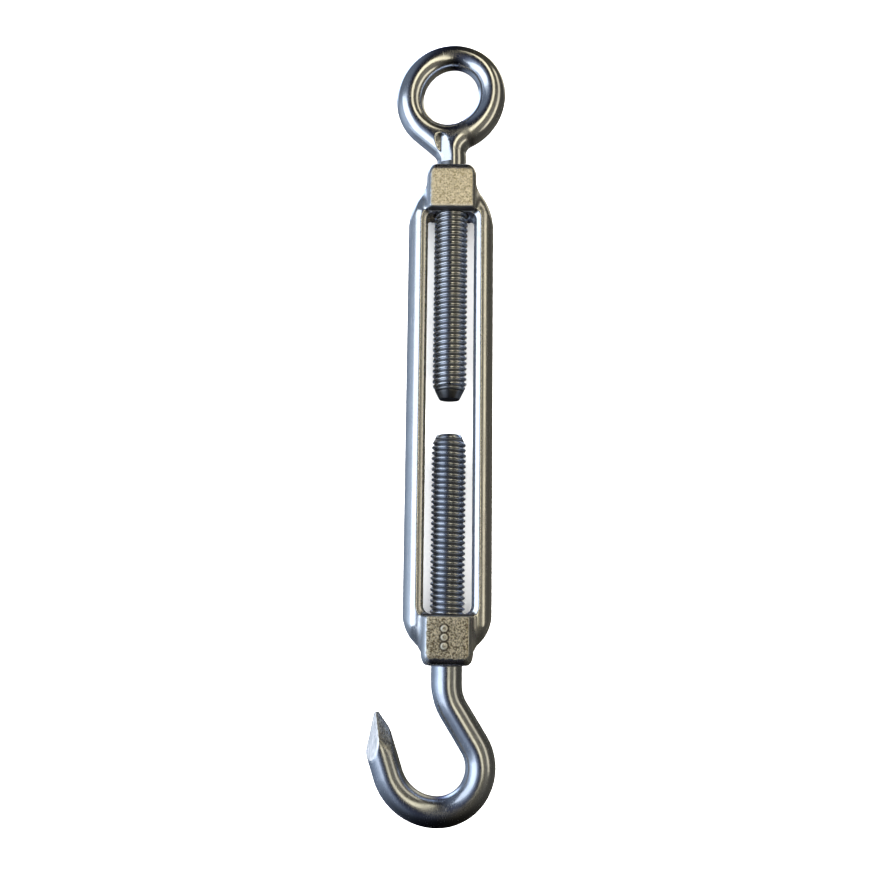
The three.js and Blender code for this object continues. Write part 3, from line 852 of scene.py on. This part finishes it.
def hook_material():
    """Slightly satin, with fine grinding lines across the tip's faces; the outer face is painted pale as a
    painted highlight and the inner one dark as painted shade.
    """
    nodes, colour, rough, relief = polished_steel(
        "satin_hook_bolt", (0.64, 0.67, 0.74, 1), (0.54, 0.57, 0.64, 1), 0.18, (0.03, 0.03, 0.035, 1)
    )
    ground = nodes.mark("ground")
    grinding = nodes.noise(4, 3, (1, 0.08, 1), 0.6)
    outer_face = nodes.mark("outer_face")
    # painted highlight and painted shade: the outer ground face pale, the inner one dark
    lines = nodes.ramp(grinding, 0.4, 0.6)
    highlit_face_colour = nodes.mix(lines, (0.55, 0.58, 0.61, 1), (0.95, 0.96, 0.97, 1))
    shaded_face_colour = nodes.mix(lines, (0.12, 0.12, 0.13, 1), (0.62, 0.63, 0.62, 1))
    lit_and_shaded_tip_colour = nodes.mix(outer_face, shaded_face_colour, highlit_face_colour)
    colour = nodes.mix(nodes.maths("MULTIPLY", ground, 0.8), colour, lit_and_shaded_tip_colour)
    rough = nodes.maths("ADD", rough, nodes.maths("MULTIPLY", ground, 0.06))
    relief = nodes.bump(grinding, nodes.maths("MULTIPLY", ground, 0.5), 0.05, relief)
    # the outer ground face made less metallic, so it shows whiter with its painted highlight
    matt = nodes.maths("MULTIPLY", outer_face, 0.14)
    nodes.link(nodes.maths("SUBTRACT", 1, matt), nodes.shader.inputs["Metallic"])
    return finish(nodes, colour, rough, relief)


# ---------------------------------------------------------------- the studio

def floor_piece():
    """A plain pale floor under the part, three metres each way from it."""
    half = 3
    mesh = bpy.data.meshes.new("floor")
    corners = [(-half, -half, 0), (half, -half, 0), (half, half, 0), (-half, half, 0)]
    mesh.from_pydata(corners, [], [(0, 1, 2, 3)])
    nodes = Nodes("pale_floor")
    shade = nodes.mix(nodes.noise(0.02, 3), (0.86, 0.86, 0.86, 1), (0.90, 0.90, 0.90, 1))
    nodes.shader.inputs["Roughness"].default_value = 0.9
    nodes.shader.inputs["Specular IOR Level"].default_value = 0
    nodes.link(shade, nodes.shader.inputs["Base Color"])
    mesh.materials.append(nodes.material)
    made = bpy.data.objects.new("floor", mesh)
    bpy.context.scene.collection.objects.link(made)
    made.visible_glossy = False


def soft_light(name, place, size, power, colour, seen=True):
    """A soft rectangular light at a place in millimetres about the part, turned to face it. Where seen is
    False it lights the part but shows in no reflection."""
    data = bpy.data.lights.new(name, "AREA")
    data.shape = "RECTANGLE"
    data.size, data.size_y = size[0] * MM, size[1] * MM
    data.energy = power
    data.color = colour
    made = bpy.data.objects.new(name, data)
    bpy.context.scene.collection.objects.link(made)
    made.location = ORIGIN + Vector(place) * MM
    facing = (ORIGIN - made.location).normalized()
    across = Vector((0, 1, 0)).cross(-facing).normalized()
    made.matrix_world = Matrix.Translation(made.location) @ Matrix(
        (across, (-facing).cross(across), -facing)
    ).transposed().to_4x4()
    made.visible_glossy = seen


def studio():
    """A broad cool light and a small fill on the left, two warm strips on the right, and one overhead."""
    soft_light("left_softbox", (-302, 20, 262), (291, 480), 0.60, (0.84, 0.92, 1.0))
    soft_light("hook_end_fill", (-370, -130, 70), (150, 170), 0.036, (0.70, 0.85, 1.0))
    soft_light("right_strip_upper", (104, 130, 386), (100, 640), 0.29, (1.0, 0.90, 0.62))
    soft_light("right_strip_lower", (350, 130, 194), (110, 640), 0.22, (1.0, 0.89, 0.63))
    soft_light("overhead", (0, 0, 2000), (5000, 5000), 600, (1.0, 1.0, 1.0), seen=False)


def surroundings():
    """A dim room: blue-grey on the left, warm grey on the right, darkest overhead and towards both ends,
    with a bright rim low beyond the eye's end. Seen directly, past the floor's edge, it is plain white."""
    world = bpy.data.worlds.new("room")
    bpy.context.scene.world = world
    world.use_nodes = True
    tree = world.node_tree
    coordinates = tree.nodes.new("ShaderNodeTexCoord")
    split = tree.nodes.new("ShaderNodeSeparateXYZ")
    tree.links.new(coordinates.outputs["Generated"], split.inputs[0])

    def ramp(socket, facts, kind="SMOOTHSTEP"):
        node = tree.nodes.new("ShaderNodeMapRange")
        node.interpolation_type = kind
        for name, number in zip(("From Min", "From Max", "To Min", "To Max"), facts):
            node.inputs[name].default_value = number
        tree.links.new(socket, node.inputs["Value"])
        return node.outputs[0]

    def maths(operation, a, b=None):
        node = tree.nodes.new("ShaderNodeMath")
        node.operation = operation
        tree.links.new(a, node.inputs[0])
        if b is not None:
            tree.links.new(b, node.inputs[1])
        return node.outputs[0]

    tint = tree.nodes.new("ShaderNodeValToRGB")
    stops = (
        (0.0, (0.45, 0.55, 0.70)),
        (0.29, (0.36, 0.44, 0.58)),
        (0.4, (0.05, 0.06, 0.10)),
        (0.5, (0.015, 0.016, 0.028)),
        (0.66, (0.14, 0.124, 0.085)),
        (0.86, (0.20, 0.187, 0.15)),
        (1.0, (0.07, 0.066, 0.055)),
    )
    while len(tint.color_ramp.elements) < len(stops):
        tint.color_ramp.elements.new(0.5)
    for element, (place, colour) in zip(tint.color_ramp.elements, stops):
        element.position = place
        element.color = (*colour, 1)
    tree.links.new(ramp(split.outputs["X"], (-1, 1, 0, 1), "LINEAR"), tint.inputs[0])
    below = ramp(split.outputs["Z"], (-0.75, 0.1, 0.6, 1))
    hook_end = ramp(split.outputs["Y"], (-0.95, -0.1, 0.05, 1))
    eye_end = ramp(split.outputs["Y"], (0.1, 0.6, 1, 0.36))
    far_rim = maths(
        "MULTIPLY", ramp(split.outputs["Y"], (0.3, 0.7, 0, 7)), ramp(split.outputs["Z"], (-0.7, -0.3, 1, 0))
    )
    shade = maths("MULTIPLY", maths("MULTIPLY", below, hook_end), eye_end)
    tree.links.new(tint.outputs[0], tree.nodes["Background"].inputs["Color"])
    tree.links.new(maths("ADD", shade, far_rim), tree.nodes["Background"].inputs["Strength"])

    backdrop = tree.nodes.new("ShaderNodeBackground")
    backdrop.inputs["Color"].default_value = (1, 1, 1, 1)
    path = tree.nodes.new("ShaderNodeLightPath")
    either = tree.nodes.new("ShaderNodeMixShader")
    tree.links.new(path.outputs["Is Camera Ray"], either.inputs[0])
    tree.links.new(tree.nodes["Background"].outputs[0], either.inputs[1])
    tree.links.new(backdrop.outputs[0], either.inputs[2])
    tree.links.new(either.outputs[0], tree.nodes["World Output"].inputs["Surface"])


def camera():
    """High above the part, over its hook end's half, looking down at its middle and slightly rolled."""
    place = ORIGIN + Vector(CAMERA_PLACE) * MM
    target = ORIGIN + Vector(CAMERA_TARGET) * MM
    forward = (target - place).normalized()
    right = forward.cross(Vector((0, 1, 0))).normalized()
    up = right.cross(forward)
    rolled_right = right * math.cos(CAMERA_ROLL) + up * math.sin(CAMERA_ROLL)
    rolled_up = up * math.cos(CAMERA_ROLL) - right * math.sin(CAMERA_ROLL)
    data = bpy.data.cameras.new("camera")
    data.angle = CAMERA_ANGLE
    data.clip_start = 0.01
    made = bpy.data.objects.new("camera", data)
    bpy.context.scene.collection.objects.link(made)
    turn = Matrix((rolled_right, rolled_up, -forward)).transposed().to_4x4()
    made.matrix_world = Matrix.Translation(place) @ turn
    bpy.context.scene.camera = made


bpy.context.scene.view_settings.view_transform = "Standard"
camera()
studio()
surroundings()
floor_piece()

steel_casting = cast_material()
steel_eye = eye_material()
steel_hook = hook_material()

make_piece("cast_frame", frame_shape(), steel_casting, "frame", "frame")
make_piece("eye_and_rod", eye_bolt_shape(), steel_eye, "eye_bolt", "eye_bolt")
make_piece("hook_and_rod", hook_bolt_shape(), steel_hook, "hook_bolt", "hook_bolt")
make_piece(
    "eye_rod_point",
    point_shape(EYE_POINT_RADIUS, EYE_ROD_END, EYE_ROD_END + EYE_POINT_LENGTH),
    steel_eye, "eye_screw", "eye_bolt_point",
)
make_piece(
    "hook_rod_point",
    point_shape(HOOK_POINT_RADIUS, HOOK_ROD_END, HOOK_ROD_END - HOOK_POINT_LENGTH),
    steel_hook, "hook_screw", "hook_bolt_point",
)
